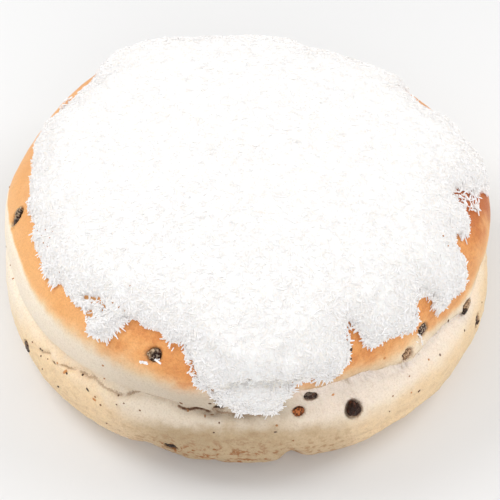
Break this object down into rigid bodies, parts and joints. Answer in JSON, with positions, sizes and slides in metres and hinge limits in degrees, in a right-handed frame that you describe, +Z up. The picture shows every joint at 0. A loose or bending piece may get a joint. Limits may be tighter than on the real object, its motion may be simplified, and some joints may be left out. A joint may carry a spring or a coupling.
{
  "type": "boston bun",
  "caption": "Round fruit bun with a creased waist, currants in its crust and a thick cap of coconut icing running down in tongues.",
  "frame": {"origin": "centre of the bounding box, at the flat base that the bun stands on", "axes": "+Z up out of the crown; -Y is the bun's front, where its longest tongue of icing runs down"},
  "size_m": [0.179, 0.1802, 0.0724],
  "materials": {
    "crust": "baked golden-brown crown fading to pale cream dough round the sides, dusty and unglazed",
    "icing": "white icing packed with shredded coconut, rough and matt",
    "currant": "dark brown wrinkled dried fruit, slightly shiny"
  },
  "bodies": {
    "root": {"bun": "crust", "icing": "icing", "currant_01": "currant", "currant_02": "currant", "currant_03": "currant", "currant_04": "currant", "currant_05": "currant", "currant_06": "currant", "currant_07": "currant", "currant_08": "currant", "currant_09": "currant", "currant_10": "currant", "currant_11": "currant", "currant_12": "currant", "currant_13": "currant", "currant_14": "currant", "currant_15": "currant", "currant_16": "currant", "currant_17": "currant", "currant_18": "currant"}
  },
  "joints": []
}
